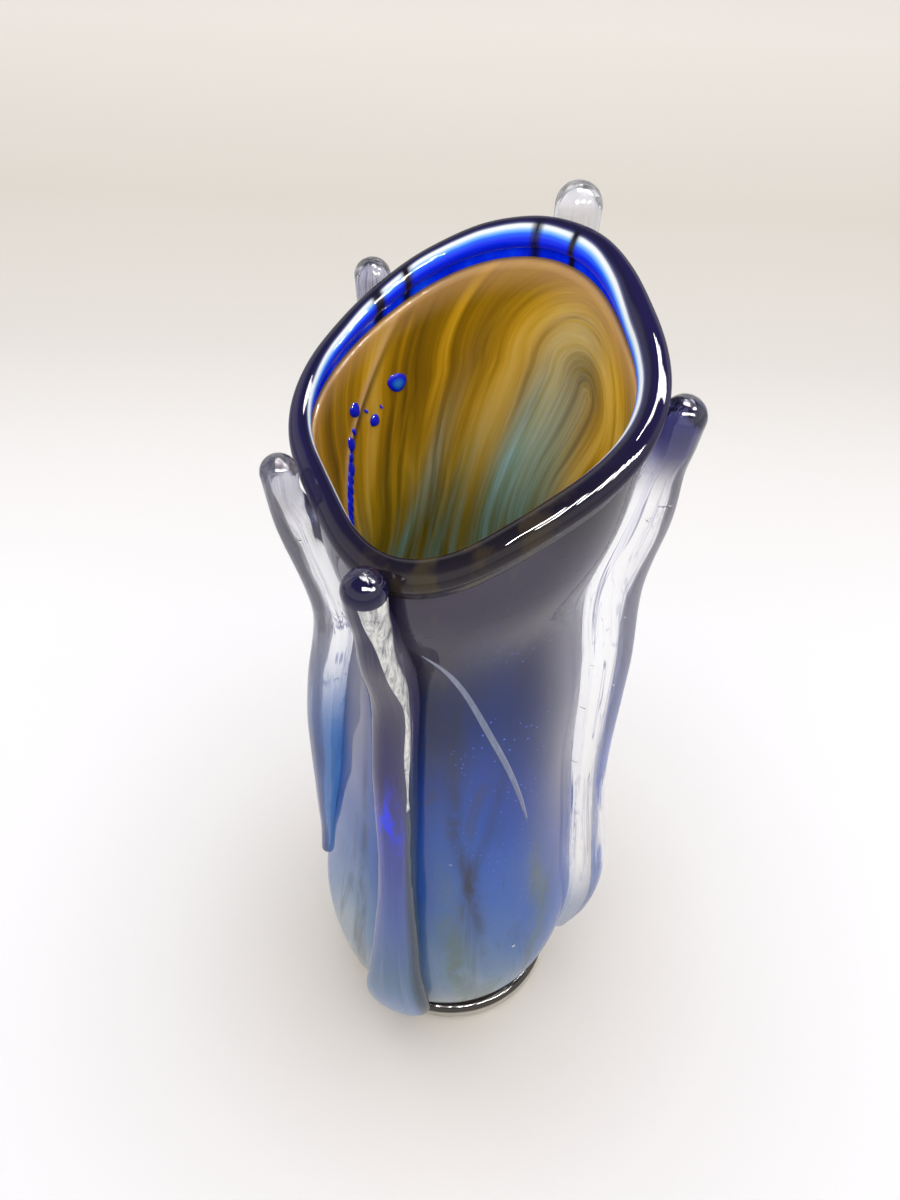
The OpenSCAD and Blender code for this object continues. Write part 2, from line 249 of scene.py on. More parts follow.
def bump(nt, height, strength, distance=0.001, normal=None):
    kw = {"Strength": strength, "Distance": distance, "Height": height}
    if normal is not None:
        kw["Normal"] = normal
    return add(nt, "Bump", **kw)


def finish_material(nt, **inputs):
    b = add(nt, "BsdfPrincipled", out=None, **inputs)
    o = nt.nodes.new("ShaderNodeOutputMaterial")
    nt.links.new(b.outputs[0], o.inputs[0])
    return b


# ---------------------------------------------------------------- materials
def body_material():
    m, nt = new_material("cased_glass")
    p, s = spot(nt), fact(nt, "share")
    cloud = noise(nt, scaled(nt, p, 26, 26, 7), 1, 3, 0.55, 1.2)
    wave = calc(nt, "MULTIPLY_ADD", cloud, 0.22, -0.11)
    lift = calc(nt, "ADD", s, calc(nt, "ADD", wave, fact(nt, "lean")))
    col = ramp(nt, lift, [
        (0.02, (0.26, 0.31, 0.36)), (0.10, (0.15, 0.23, 0.36)), (0.21, (0.060, 0.135, 0.34)),
        (0.31, (0.026, 0.095, 0.36)), (0.42, (0.012, 0.070, 0.35)), (0.53, (0.005, 0.040, 0.26)),
        (0.63, (0.006, 0.024, 0.135)), (0.72, (0.014, 0.020, 0.075)), (0.80, (0.024, 0.018, 0.045)),
        (0.92, (0.028, 0.020, 0.046)), (1.0, (0.008, 0.006, 0.010))])
    # lengthwise veils of paler and browner glass
    veil = fade(nt, noise(nt, scaled(nt, p, 95, 95, 6), 1, 5, 0.6, 1.8), 0.50, 0.78)
    low = fade(nt, s, 0.80, 0.25)
    col = blend(nt, calc(nt, "MULTIPLY", veil, calc(nt, "MULTIPLY", low, 0.55)), col,
                (0.030, 0.045, 0.062))
    brown = fade(nt, noise(nt, scaled(nt, p, 60, 60, 9), 1, 3, 0.6, 2.5), 0.58, 0.74)
    brown = calc(nt, "MULTIPLY", brown, fade(nt, s, 0.02, 0.30, (0.0, 0.5)))
    col = blend(nt, brown, col, (0.045, 0.038, 0.040))
    rag = fade(nt, noise(nt, scaled(nt, p, 70, 70, 26), 1, 5, 0.65, 1.5), 0.30, 0.62, (0.25, 1.0))
    col = blend(nt, calc(nt, "MULTIPLY", fact(nt, "lilac"), 0.8), col, (0.20, 0.195, 0.25))
    col = blend(nt, calc(nt, "MULTIPLY", fact(nt, "olive"), rag), col, (0.095, 0.135, 0.100))
    col = blend(nt, calc(nt, "MULTIPLY", fact(nt, "umber_streaks_and_lining_seen_through"), rag), col, (0.020, 0.024, 0.048))
    # fine blue glitter and a few white specks under the surface
    dots = add(nt, "TexVoronoi", Vector=p, Scale=520.0)
    pick = noise(nt, p, 60, 2)
    glint = calc(nt, "MULTIPLY", fade(nt, dots, 0.20, 0.08),
                 calc(nt, "MULTIPLY", fade(nt, pick, 0.48, 0.58), fact(nt, "glitter")))
    col = blend(nt, calc(nt, "MULTIPLY", glint, 0.9), col, (0.12, 0.18, 0.85))
    rare = add(nt, "TexVoronoi", Vector=p, Scale=62.0)
    some = fade(nt, noise(nt, p, 40, 1), 0.50, 0.56)
    col = blend(nt, calc(nt, "MULTIPLY", fade(nt, rare, 0.045, 0.028), some), col, (0.45, 0.48, 0.52))
    # the wall's end under the lip, painted white as see-through light of the clear casing
    col = blend(nt, fact(nt, "crown"), col, (0.80, 0.83, 0.84))
    wavy = noise(nt, scaled(nt, p, 60, 60, 22), 1, 2, 0.4)
    fine = noise(nt, p, 900, 2)
    n = bump(nt, wavy, 0.35, 0.0012)
    n = bump(nt, fine, 0.05, 0.0002, n)
    finish_material(nt, Base_Color=col, Roughness=0.32, IOR=1.5, Specular_IOR_Level=0.0,
                    Coat_Weight=0.72, Coat_Roughness=0.03, Coat_IOR=1.5, Coat_Normal=n, Normal=n)
    return m


def overlay_material():
    m, nt = new_material("cobalt_glass")
    p = spot(nt)
    col = ramp(nt, noise(nt, scaled(nt, p, 120, 120, 60), 1, 4, 0.6), [
        (0.30, (0.0, 0.008, 0.55)), (0.50, (0.0, 0.022, 0.90)), (0.70, (0.004, 0.07, 0.98))])
    # painted shade beside the two far ribs
    col = blend(nt, fact(nt, "shade_bars"), col, (0.004, 0.004, 0.03))
    finish_material(nt, Base_Color=col, Roughness=0.4, IOR=1.5, Specular_IOR_Level=0.0, Coat_Weight=0.03,
                    Coat_Roughness=0.02, Normal=bump(nt, noise(nt, p, 500, 3), 0.1, 0.0003))
    return m


def lining_material():
    m, nt = new_material("marbled_lining")
    q, along, s = fact(nt, "grain"), fact(nt, "along"), fact(nt, "share")
    join = add(nt, "CombineXYZ", i0=calc(nt, "MULTIPLY", q, 0.13), i1=calc(nt, "MULTIPLY", along, 0.012),
               i2=0.3)
    wide = noise(nt, join, 1.0, 3, 0.55, 0.7)
    join2 = add(nt, "CombineXYZ", i0=calc(nt, "MULTIPLY", q, 0.55), i1=calc(nt, "MULTIPLY", along, 0.014),
                i2=4.0)
    thin = noise(nt, join2, 1.0, 5, 0.62, 0.5)
    tone = calc(nt, "MULTIPLY_ADD", thin, 0.2, calc(nt, "MULTIPLY", wide, 0.8))
    gold = ramp(nt, tone, [
        (0.35, (0.17, 0.095, 0.001)), (0.43, (0.31, 0.165, 0.001)), (0.50, (0.46, 0.25, 0.002)),
        (0.57, (0.66, 0.37, 0.010)), (0.66, (0.78, 0.49, 0.06))])
    deep = ramp(nt, tone, [
        (0.36, (0.22, 0.17, 0.004)), (0.45, (0.36, 0.27, 0.008)), (0.54, (0.48, 0.36, 0.015)),
        (0.64, (0.52, 0.46, 0.12))])
    col = blend(nt, fade(nt, s, 0.92, 0.70), gold, deep)
    # teal and grey-blue veils low down and in streaks
    flow = add(nt, "CombineXYZ", i0=calc(nt, "MULTIPLY", q, 0.11),
               i1=calc(nt, "MULTIPLY", along, 0.012), i2=9.0)
    streak = noise(nt, flow, 1.0, 4, 0.6, 1.2)
    teal = calc(nt, "ADD", calc(nt, "MULTIPLY", fade(nt, streak, 0.44, 0.62), fade(nt, s, 0.86, 0.58)),
                calc(nt, "MULTIPLY", fact(nt, "teal"), fade(nt, wide, 0.30, 0.62, (0.55, 1.1))))
    hue = ramp(nt, thin, [(0.35, (0.30, 0.42, 0.22)), (0.5, (0.31, 0.55, 0.50)),
                          (0.62, (0.42, 0.70, 0.74))])
    col = blend(nt, add(nt, "Clamp", i0=teal), col, hue)
    # the peach edge at the top, the fold, and painted shade in the crease beside it
    col = blend(nt, fade(nt, s, 0.955, 0.992, (0.0, 0.75)), col, (0.60, 0.34, 0.13))
    col = blend(nt, fact(nt, "ridge"), col, (0.86, 0.56, 0.27))
    # painted shade, dark in the crease
    col = blend(nt, fact(nt, "crease"), col, (0.10, 0.06, 0.012))
    col = blend(nt, fact(nt, "cobalt"), col, (0.004, 0.012, 0.75))
    n = bump(nt, tone, 0.25, 0.0015)
    finish_material(nt, Base_Color=col, Roughness=0.4, IOR=1.5, Specular_IOR_Level=0.1, Coat_Weight=0.35,
                    Coat_Roughness=0.06, Coat_IOR=1.5, Normal=n)
    return m


def lip_material():
    """Clear glass rolled over the layers, drawn as an opaque coated bead: navy outside; inside, the blue of
    the layers below and painted see-through light, white where clear glass would show the backdrop.
    """
    m, nt = new_material("lip_glass")
    p, t = spot(nt), fact(nt, "band")
    w = calc(nt, "MULTIPLY_ADD", noise(nt, p, 70, 3), 0.05, -0.025)
    t = calc(nt, "ADD", calc(nt, "ADD", t, w), fact(nt, "shift"))
    # painted see-through light: the white stops stand for the backdrop seen through clear glass
    col = ramp(nt, t, [
        (0.0, (0.016, 0.012, 0.014)), (0.22, (0.007, 0.005, 0.006)), (0.40, (0.006, 0.005, 0.012)),
        (0.475, (0.016, 0.014, 0.075)), (0.505, (0.10, 0.11, 0.22)), (0.535, (0.80, 0.84, 0.84)),
        (0.575, (0.83, 0.88, 0.93)), (0.625, (0.20, 0.50, 0.95)), (0.675, (0.01, 0.13, 0.98)),
        (0.75, (0.0, 0.025, 0.96)), (1.0, (0.0, 0.008, 0.85))])
    # painted shade beside the two far ribs
    col = blend(nt, fact(nt, "shade_bars"), col, (0.008, 0.007, 0.02))
    # painted see-through colour: olive-brown on the near side of the bead, the dark lining seen through the
    # glass
    cloud = fade(nt, noise(nt, scaled(nt, p, 160, 160, 90), 1, 3), 0.42, 0.62)
    olive = calc(nt, "MULTIPLY", fact(nt, "umber_streaks_and_lining_seen_through"), cloud)
    col = blend(nt, olive, col, (0.040, 0.030, 0.012))
    violet = calc(nt, "MULTIPLY", fact(nt, "violet"), fade(nt, t, 0.50, 0.30, (0.0, 0.75)))
    col = blend(nt, violet, col, (0.013, 0.009, 0.072))
    n = bump(nt, noise(nt, scaled(nt, p, 90, 90, 50), 1, 2), 0.10, 0.0008)
    finish_material(nt, Base_Color=col, Roughness=0.3, IOR=1.5, Specular_IOR_Level=0.0,
                    Coat_Weight=0.55, Coat_Roughness=0.012, Coat_IOR=1.5, Normal=n, Coat_Normal=n)
    return m


def lengthwise(nt, round_scale, along_scale, seed):
    """Coordinates in which a noise runs in streaks down a rib."""
    return add(nt, "CombineXYZ", i0=calc(nt, "MULTIPLY_ADD", fact(nt, "side"), round_scale, seed),
               i1=calc(nt, "MULTIPLY", fact(nt, "front"), round_scale),
               i2=calc(nt, "MULTIPLY", fact(nt, "along"), along_scale))


def rib_material(name, seed, knob, tint, blue):
    """Drawn clear glass, navy at the knob, with lengthwise streaks, and the body's blue painted low down as a
    reflection.
    """
    m, nt = new_material(name)
    p, u = spot(nt), fact(nt, "along")
    streak = noise(nt, lengthwise(nt, 2.4, 2.2, seed), 1, 3, 0.55, 0.4)
    grey = ramp(nt, streak, [(0.30, (0.66, 0.66, 0.80)), (0.372, (0.90, 0.91, 0.95)),
                             (0.380, (0.16, 0.16, 0.30)), (0.388, (0.16, 0.16, 0.30)),
                             (0.396, (0.97, 0.98, 0.98)), (0.60, (1, 1, 1)),
                             (0.612, (0.50, 0.52, 0.66)), (0.622, (1, 1, 1))])
    top = fade(nt, u, 0.11, 0.03, (0.0, knob))
    col = blend(nt, top, grey, (0.020, 0.018, 0.14))
    edge = calc(nt, "MULTIPLY", fact(nt, "rim"), tint)
    col = blend(nt, edge, col, (0.16, 0.16, 0.42))
    # painted reflection: the body's blue seen in the rib low down
    low = calc(nt, "MULTIPLY", fade(nt, u, blue[0], blue[1]), blue[2])
    col = blend(nt, low, col, (0.035, 0.16, 0.46))
    wave = noise(nt, lengthwise(nt, 1.6, 2.6, seed + 7.0), 1, 2, 0.4)
    n = bump(nt, wave, 0.30, 0.0014)
    dots = add(nt, "TexVoronoi", Vector=p, Scale=260.0)
    pick = fade(nt, noise(nt, p, 70, 1), 0.50, 0.56)
    n = bump(nt, calc(nt, "MULTIPLY", fade(nt, dots, 0.12, 0.02), pick), 0.3, 0.0006, n)
    finish_material(nt, Base_Color=col, Roughness=0.0, IOR=1.5, Transmission_Weight=0.94, Normal=n)
    return m


def violet_rib_material():
    m, nt = new_material("violet_rib_glass")
    p, u = spot(nt), fact(nt, "along")
    w = calc(nt, "MULTIPLY_ADD", noise(nt, lengthwise(nt, 1.8, 3.0, 3.0), 1, 4, 0.6, 0.6), 0.12, -0.06)
    col = ramp(nt, calc(nt, "ADD", u, w), [
        (0.0, (0.006, 0.004, 0.045)), (0.065, (0.012, 0.010, 0.060)), (0.13, (0.10, 0.09, 0.13)),
        (0.22, (0.050, 0.042, 0.095)), (0.34, (0.030, 0.024, 0.13)), (0.43, (0.030, 0.035, 0.30)),
        (0.52, (0.040, 0.060, 0.32)), (0.66, (0.07, 0.12, 0.36)), (0.80, (0.09, 0.17, 0.29)),
        (0.92, (0.12, 0.22, 0.43)), (1.0, (0.17, 0.28, 0.48))])
    # painted reflection: a patch of the body's vivid blue seen in the rib
    refracted_blue = noise(nt, scaled(nt, p, 330, 330, 60), 1, 3, 0.6)
    col = blend(nt, calc(nt, "MULTIPLY", fade(nt, refracted_blue, 0.50, 0.60), fact(nt, "refracted_blue")), col,
                (0.005, 0.03, 0.95))
    # painted contact shadow: a dark teal line down the right edge, where the rib meets the body
    line = calc(nt, "MULTIPLY", fade(nt, fact(nt, "side"), 0.70, 0.93), fade(nt, u, 0.26, 0.40, (0.0, 0.9)))
    col = blend(nt, line, col, (0.010, 0.032, 0.055))
    pale = noise(nt, lengthwise(nt, 2.6, 2.0, 11.0), 1, 4, 0.6)
    col = blend(nt, fade(nt, pale, 0.58, 0.72, (0.0, 0.22)), col, (0.30, 0.34, 0.50))
    wave = noise(nt, lengthwise(nt, 1.6, 2.4, 6.0), 1, 3, 0.5)
    n = bump(nt, wave, 0.35, 0.0012)
    finish_material(nt, Base_Color=col, Roughness=0.10, IOR=1.5, Specular_IOR_Level=0.0,
                    Transmission_Weight=0.25, Coat_Weight=0.6, Coat_Roughness=0.01, Coat_IOR=1.5,
                    Normal=n, Coat_Normal=n)
    return m


def seam_material():
    m, nt = new_material("torn_seam_painted_sheen")
    p = spot(nt)
    n1 = noise(nt, scaled(nt, p, 500, 500, 130), 1, 6, 0.7, 0.8)
    # the torn skin is the glass's own; its silver is painted reflection of the air pocket under it, with dark
    # spots
    col = ramp(nt, n1, [(0.34, (0.05, 0.05, 0.09)), (0.44, (0.42, 0.42, 0.42)),
                        (0.56, (0.80, 0.80, 0.76)), (0.70, (0.95, 0.94, 0.90))])
    finish_material(nt, Base_Color=col, Roughness=0.28, IOR=1.5, Coat_Weight=0.8, Coat_Roughness=0.03,
                    Normal=bump(nt, n1, 0.8, 0.0012))
    return m


def thread_material():
    m, nt = new_material("pale_thread_glass")
    p, u = spot(nt), fact(nt, "along")
    col = ramp(nt, u, [(0.0, (0.12, 0.14, 0.22)), (0.2, (0.10, 0.125, 0.22)), (0.5, (0.07, 0.10, 0.22)),
                       (0.8, (0.015, 0.04, 0.19)), (1.0, (0.005, 0.035, 0.22))])
    streak = noise(nt, scaled(nt, p, 700, 700, 120), 1, 4)
    col = blend(nt, fade(nt, streak, 0.45, 0.62, (0.0, 0.35)), col, (0.16, 0.20, 0.30))
    finish_material(nt, Base_Color=col, Roughness=0.2, IOR=1.5, Coat_Weight=1.0,
                    Coat_Roughness=0.02, Normal=bump(nt, streak, 0.2, 0.0004))
    return m


def chip_material():
    m, nt = new_material("cobalt_chip_glass")
    p = spot(nt)
    # painted highlight: a paler blue at the middle of each chip, strongest on the largest chip
    col = ramp(nt, fact(nt, "chip_highlight"), [(0.0, (0.001, 0.006, 0.70)), (0.55, (0.002, 0.02, 0.90)),
                                       (0.85, (0.01, 0.17, 0.90)), (1.0, (0.03, 0.33, 0.85))])
    mottle = noise(nt, p, 700, 3)
    col = blend(nt, fade(nt, mottle, 0.5, 0.7, (0.0, 0.5)), col, (0.001, 0.006, 0.45))
    finish_material(nt, Base_Color=col, Roughness=0.3, IOR=1.5, Specular_IOR_Level=0.1, Coat_Weight=0.4,
                    Coat_Roughness=0.02, Normal=bump(nt, mottle, 0.2, 0.0004))
    return m


def foot_material():
    m, nt = new_material("foot_glass")
    p = spot(nt)
    z = add(nt, "SeparateXYZ", out=2, Vector=p)
    col = ramp(nt, noise(nt, p, 80, 3), [(0.3, (0.52, 0.49, 0.42)), (0.7, (0.64, 0.61, 0.54))])
    # painted shadow: a dark ring at the top of the foot, under the body
    col = blend(nt, fade(nt, z, 0.0046, 0.0056), col, (0.035, 0.022, 0.015))
    finish_material(nt, Base_Color=col, Roughness=0.08, IOR=1.5, Transmission_Weight=0.35,
                    Coat_Weight=0.12, Coat_Roughness=0.05,
                    Normal=bump(nt, noise(nt, p, 130, 2), 0.15, 0.0008))
    return m


# ---------------------------------------------------------------- the body and its layers
def body_glass():
    s = np.concatenate([[BASE], BASE + (np.linspace(0.02, 1, 170) ** 1.25) * (1 - BASE)])[:, None]
    outer = wall_point(AROUND, s, ripple(AROUND, s))
    si, gi = cup(CASING, 1 - 0.1 / TOP, 30, 8)
    inner = wall_point(AROUND, si[::-1], -CASING, gi[::-1])
    rings = np.concatenate([outer, inner])
    share = np.concatenate([s, si[::-1]])
    # where the casing's top is painted white as see-through light
    crown = np.concatenate([np.zeros_like(s), np.where(si[::-1] > 0.99, 1.0, 0.0)])
    a = AROUND
    # the blue stands higher in front and left of the front rib than at the right
    lean = (0.07 * bell(apart(a, -20), 0, 34) - 0.10 * bell(apart(a, -82), 0, 22)
            - 0.16 * bell(apart(a, -140), 0, 24) + 0 * share)

    def streak(points, wide, lo, hi):
        """A streak that follows (share, azimuth) points, between two shares."""
        s0, a0 = zip(*points)
        return bell(apart(a, np.interp(share, s0, a0)), 0, wide) * bell(share, (lo + hi) / 2, (hi - lo) / 2)

    olive = (0.9 * streak(((0.10, -78), (0.28, -88), (0.46, -95)), 7.0, 0.08, 0.46)
             + 0.8 * streak(((0.10, -52), (0.28, -40), (0.43, -50)), 6.0, 0.16, 0.44)
             + 0.5 * streak(((0.05, -70), (0.2, -62)), 6.0, 0.02, 0.20)
             + 0.7 * streak(((0.1, 60), (0.5, 95), (0.8, 88)), 9.0, 0.10, 0.60)
             + 0.6 * streak(((0.1, 20), (0.6, 38)), 6.0, 0.05, 0.42))
    umber_streaks_and_lining_seen_through = (0.9 * streak(((0.20, -70), (0.30, -75), (0.41, -80.5), (0.50, -89), (0.60, -90)),
                          3.6, 0.24, 0.62)
             + 0.8 * streak(((0.36, -84), (0.52, -72), (0.62, -66)), 3.0, 0.36, 0.60)
             + 0.6 * streak(((0.10, -131), (0.60, -137)), 2.6, 0.16, 0.70)
             + 0.6 * streak(((0.2, 140), (0.7, 168)), 4.0, 0.20, 0.75)
             + 0.7 * bell(apart(a, -95), 0, 12) * bell(share, 0.70, 0.10))
    lilac = (1.2 * bell(apart(a, -148), 0, 16) * bell(share, 0.68, 0.22)
             + 1.1 * bell(apart(a, -30), 0, 17) * bell(share, 0.64, 0.24)
             + 0.4 * bell(apart(a, 150), 0, 26) * bell(share, 0.55, 0.25))
    glitter = (bell(apart(a, -70), 0, 26) * bell(share, 0.66, 0.16)
               + 0.5 * bell(apart(a, -60), 0, 40) * bell(share, 0.35, 0.14))
    ob = skin("body_glass", rings, [*axis_at(BASE), FOOT_HEIGHT], cup_floor(CASING),
              {"share": share, "crown": crown, "lean": lean, "glitter": glitter,
               "olive": np.clip(olive, 0, 1), "umber_streaks_and_lining_seen_through": np.clip(umber_streaks_and_lining_seen_through, 0, 1), "lilac": lilac})
    place(ob, body_material(), "casing_glass", "clear_casing")


def lip_frame(a):
    """Middle and outward vector of the lip's section at azimuth a, and its swell."""
    o, i = wall_point(a, 1.0, 0.0), wall_point(a, 1.0, -WALL)
    m = (o + i) / 2
    e = (o - i) / np.linalg.norm(o - i, axis=-1, keepdims=True)
    return m, e, 1 + LIP_SWELL * np.cos(rad(a - SWELL_AZ))


def lip_at(a, t, inset=0.0):
    """Point on the bead's section at angle t, inset from its skin (mm)."""
    m, e, f = lip_frame(a)
    w, h = f * LIP_W / 2 - inset, f * LIP_H / 2 - inset
    p = m + e * (w * np.cos(rad(t)))[..., None]
    p[..., 2] += LIP_SEAT + h * np.sin(rad(t))
    return p


def shade_bars_at(a):
    """Painted shade: dark stripes across the bead, beside the two far ribs."""
    b = sum(bell(apart(a, c), 0, w) for c, w in ((70, 1.4), (55.5, 1.2), (115.5, 1.5), (127.5, 1.9)))
    return np.clip(1.5 * b, 0, 1)


def cobalt_overlay():
    s, g = cup(CASING, 1.0, 24, 8)
    outer = wall_point(AROUND, s, -CASING, g)
    si, gi = cup(WALL, 1.0, 24, 8)
    inner = wall_point(AROUND, si[::-1], -WALL, gi[::-1])
    rings = np.concatenate([outer, inner])
    shade_bars = shade_bars_at(AROUND) * np.ones((len(rings), 1))
    ob = skin("cobalt_overlay_glass", rings, cup_floor(CASING), cup_floor(WALL), {"shade_bars": shade_bars})
    place(ob, overlay_material(), "overlay_glass", "cobalt_overlay")


def inner_lining():
    end = 1 - LINING_DROP / TOP
    so, go = cup(WALL, end, 16, 8)
    outer = wall_point(AROUND, so, -WALL, go)
    si, gi = cup(INSIDE, end - 0.3 * LINING / TOP, 150, 24)
    si, gi = si[::-1], gi[::-1]
    a = AROUND
    # the fold: a low ridge that runs down from the rim on the left
    fold = 0.989 - 0.157 * np.clip((a - 119.5) / 52.2, 0, 1) ** 1.1
    near = np.where((a > 112) & (a < 180), 1.0, 0.0)
    off = (si - fold) * TOP
    ridge = near * bell(off, 0, 1.3) * bell(a, 145, 26)
    crease = near * bell(off, -3.0, 1.6) * bell(a, 145, 26)
    rise = 0.35 * ridge - 0.25 * crease
    inner = wall_point(a, si, -INSIDE - rise * 1.2, gi)
    rings = np.concatenate([outer, inner])
    share = np.concatenate([so, si]) + 0 * a
    # the grain: arcs round a centre high at the right rear, straight streaks below it
    dx = apart(a, 33 + 95 * np.clip(0.90 - share, 0, 0.45)) * 0.62 * np.concatenate([go, gi])
    dz = (share - 0.905) * TOP
    bendy = 2.6 * np.sin(share * 13 + 0.6) + 0.8 * np.sin(share * 29 + rad(2 * a))
    dx = np.abs(dx + bendy * np.clip(-dz / 20, 0, 1))
    grain = np.sqrt(dx ** 2 + np.clip(dz, 0, None) ** 2 * 1.9)
    along = np.where(dz > 0, np.arctan2(np.clip(dz, 0, None), dx + 0.01) * 20, dz)
    line = lambda c, w, lo, hi: bell(apart(a, c), 0, w) * bell(share, (lo + hi) / 2, (hi - lo) / 2)
    teal = (0.95 * line(66 + (0.84 - share) * 105, 6.0, 0.62, 0.86)
            + 0.85 * line(112 + (0.80 - share) * 200, 5.5, 0.62, 0.83)
            + 0.80 * line(48 + (0.86 - share) * 90, 18.0, 0.62, 0.93)
            + 0.65 * line(92 + (0.8 - share) * 120, 4.0, 0.60, 0.80))
    zero = np.zeros((len(so), COLUMNS))
    broken = np.clip(np.sin(rad(a * 29)) + 0.75, 0, 1)
    specks = np.clip(1.3 * bell(off + 2.0, 0, 1.3) * broken * bell(a, 163, 12), 0, 1) * near
    ob = skin("inner_lining_glass", rings, cup_floor(WALL), cup_floor(INSIDE),
              {"share": share, "grain": grain, "along": along, "teal": np.clip(teal, 0, 1),
               "ridge": np.concatenate([zero, ridge]),
               "crease": np.concatenate([zero, 0.85 * crease]),
               "cobalt": np.concatenate([zero, 0.85 * specks])})
    place(ob, lining_material(), "lining_glass", "inner_lining")


def lip():
    turns = np.linspace(218, -38, 60)
    rows = [lip_at(AZ, np.full(COLUMNS, t)) for t in turns]
    # the glass runs out thinly over the wall's outer face
    for k, d in ((0.9945, 0.62), (0.9885, 0.30), (0.982, 0.10), (0.976, -0.30)):
        rows.append(wall_point(AZ, k, d))
    rows.append(wall_point(AZ, 0.985, -0.9))
    rows.append(wall_point(AZ, 0.996, -1.6))
    rows.append(wall_point(AZ, 0.996, -WALL + 0.25))
    rings = np.stack(rows)
    wob = 0.16 * np.sin(rad(4 * AZ + 20)) + 0.10 * np.sin(rad(9 * AZ + 80)) + 0.07 * np.sin(rad(17 * AZ))
    rings[4:54, :, 2] += wob * np.sin(np.linspace(0, np.pi, 50))[:, None]
    band = np.concatenate([(turns + 18) / 232, np.zeros(7)])[:, None]
    a = AROUND + 0 * band
    # the painted see-through white in the bead narrows at the right and left, and is hidden at the near side
    shift = (-0.15 * bell(apart(a, 8), 0, 38) - 0.12 * bell(apart(a, 178), 0, 36)
             - 0.30 * bell(apart(a, -95), 0, 58))
    # painted see-through colour: the dark lining, olive-brown on the near side of the bead
    umber_streaks_and_lining_seen_through = np.clip(1.2 * bell(apart(a, -88), 0, 32), 0, 1) * (band < 0.75)
    violet = np.clip(bell(apart(a, 0), 0, 45) + bell(apart(a, 180), 0, 50)
                     + 0.6 * bell(apart(a, 60), 0, 60), 0, 1)
    ob = skin("lip_glass", rings, loop=True, facts={
        "band": band, "shade_bars": shade_bars_at(a) * np.clip(band * 3, 0, 1), "shift": shift, "umber_streaks_and_lining_seen_through": umber_streaks_and_lining_seen_through,
        "violet": violet})
    place(ob, lip_material(), "lip_glass", "lip_wrap")


# ---------------------------------------------------------------- ribs
KEYS = [0, 0.035, 0.075, 0.16, 0.27, 0.42, 0.60, 0.80, 0.93, 1]


